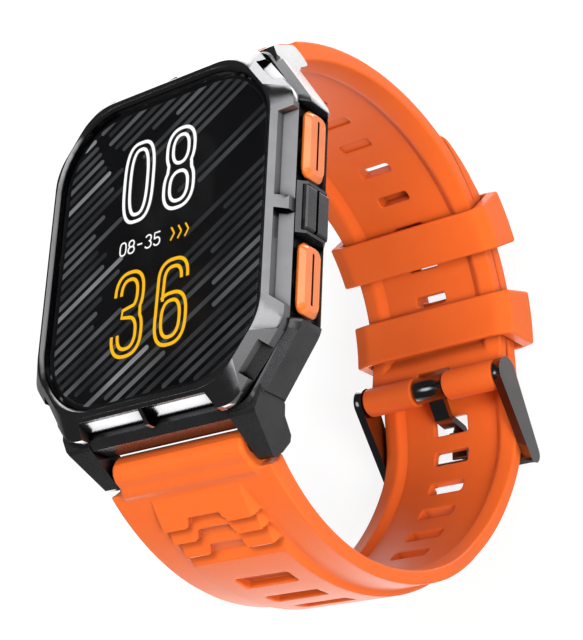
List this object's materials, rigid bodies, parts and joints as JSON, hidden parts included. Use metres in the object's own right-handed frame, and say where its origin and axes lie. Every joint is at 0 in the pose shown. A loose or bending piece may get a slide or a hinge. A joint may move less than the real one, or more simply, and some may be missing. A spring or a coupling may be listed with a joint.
{
  "type": "gps running watch",
  "caption": "Rectangular sports watch with an eight-sided dark metal bezel, two side buttons and a buckled ribbed silicone strap with pin buckle and keepers.",
  "frame": {"origin": "centre of the outer face of the display glass", "axes": "+Z out of the display, +Y towards twelve o'clock, +X towards three o'clock, where the buttons are"},
  "size_m": [0.0422, 0.0729, 0.0709],
  "materials": {
    "gunmetal": "satin, fine metallic flake",
    "case_grey": "matte, fibre filled",
    "display_glass": "polished",
    "display_black": "polished",
    "orange_silicone": "soft matte",
    "orange_button": "gloss anodised",
    "buckle_black": "gloss",
    "steel": "bright",
    "board_green": "solder mask",
    "chip_black": "moulded",
    "foil": "foil",
    "flex_amber": "film",
    "seal_black": "matte",
    "gold": "plated",
    "back_black": "satin",
    "sensor_dark": "polished, tinted",
    "diode_pale": "clear"
  },
  "bodies": {
    "case": {"bezel": "gunmetal", "mid_case": "case_grey", "button_guard": "gunmetal", "cover_glass": "display_glass", "display_glue": "seal_black", "display_panel": "display_black", "display_tray": "chip_black", "display_flex": "flex_amber", "gps_antenna": "gold", "main_board": "board_green", "processor_shield": "foil", "board_chips": "chip_black", "battery_socket": "chip_black", "battery": "foil", "battery_pad": "seal_black", "beeper": "gold", "button_seals": "seal_black", "button_switches": "steel", "button_flex": "flex_amber", "pressure_vent": "steel", "back_cover": "back_black", "back_gasket": "seal_black", "back_screws": "steel", "sensor_window": "sensor_dark", "sensor_board": "board_green", "sensor_leds": "diode_pale", "sensor_detectors": "chip_black", "light_wall": "chip_black", "charging_pads": "gold", "motor_can": "steel", "upper_bar_tube": "steel", "lower_bar_tube": "steel", "upper_bar_spring": "steel", "lower_bar_spring": "steel"},
    "motor_rotor": {"motor_shaft": "steel", "motor_weight": "steel"},
    "upper_button": {"upper_button": "orange_button", "upper_button_clip": "steel"},
    "lower_button": {"lower_button": "orange_button", "lower_button_clip": "steel"},
    "upper_strap": {"strap_upper": "orange_silicone"},
    "lower_strap": {"strap_lower": "orange_silicone"},
    "near_keeper": {"keeper_near": "orange_silicone"},
    "far_keeper": {"keeper_far": "orange_silicone"},
    "buckle": {"buckle_frame": "buckle_black", "buckle_bar": "buckle_black"},
    "tongue": {"buckle_tongue": "buckle_black"},
    "upper_left_pin": {"upper_pin_left": "steel"},
    "upper_right_pin": {"upper_pin_right": "steel"},
    "lower_left_pin": {"lower_pin_left": "steel"},
    "lower_right_pin": {"lower_pin_right": "steel"}
  },
  "joints": [
    {"name": "motor_spin", "type": "hinge", "parent": "case", "child": "motor_rotor", "pos_m": [-0.0159, 0, -0.0066], "axis": [0, 1, 0], "continuous": true},
    {"name": "upper_button_press", "type": "slide", "parent": "case", "child": "upper_button", "axis": [-1, 0, 0], "range_m": [0, 0.0006]},
    {"name": "lower_button_press", "type": "slide", "parent": "case", "child": "lower_button", "axis": [-1, 0, 0], "range_m": [0, 0.0006]},
    {"name": "upper_strap_swing", "type": "hinge", "parent": "case", "child": "upper_strap", "pos_m": [0, 0.0259, -0.0088], "axis": [-1, 0, 0], "range_deg": [0, 0.25]},
    {"name": "lower_strap_swing", "type": "hinge", "parent": "case", "child": "lower_strap", "pos_m": [0, -0.0259, -0.0088], "axis": [1, 0, 0], "range_deg": [0, 0.25]},
    {"name": "near_keeper_slide", "type": "hinge", "parent": "upper_strap", "child": "near_keeper", "pos_m": [0, 0.0054, -0.0367], "axis": [1, 0, 0], "range_deg": [-4, 5]},
    {"name": "far_keeper_slide", "type": "hinge", "parent": "upper_strap", "child": "far_keeper", "pos_m": [0, 0.0054, -0.0367], "axis": [1, 0, 0], "range_deg": [-7, 9]},
    {"name": "buckle_hinge", "type": "hinge", "parent": "upper_strap", "child": "buckle", "pos_m": [0, 0.0006, -0.0618], "axis": [1, 0, 0], "range_deg": [0, 2.5]},
    {"name": "tongue_hinge", "type": "hinge", "parent": "buckle", "child": "tongue", "pos_m": [0, 0.0006, -0.0618], "axis": [1, 0, 0], "range_deg": [0, 1.5]},
    {"name": "upper_left_pin_press", "type": "slide", "parent": "case", "child": "upper_left_pin", "axis": [1, 0, 0], "range_m": [0, 0.0012]},
    {"name": "upper_right_pin_press", "type": "slide", "parent": "case", "child": "upper_right_pin", "axis": [-1, 0, 0], "range_m": [0, 0.0012]},
    {"name": "lower_left_pin_press", "type": "slide", "parent": "case", "child": "lower_left_pin", "axis": [1, 0, 0], "range_m": [0, 0.0012]},
    {"name": "lower_right_pin_press", "type": "slide", "parent": "case", "child": "lower_right_pin", "axis": [-1, 0, 0], "range_m": [0, 0.0012]}
  ],
  "couplings": [
    {"joint": "lower_strap_swing", "follows": "upper_strap_swing", "ratio": 1}
  ]
}
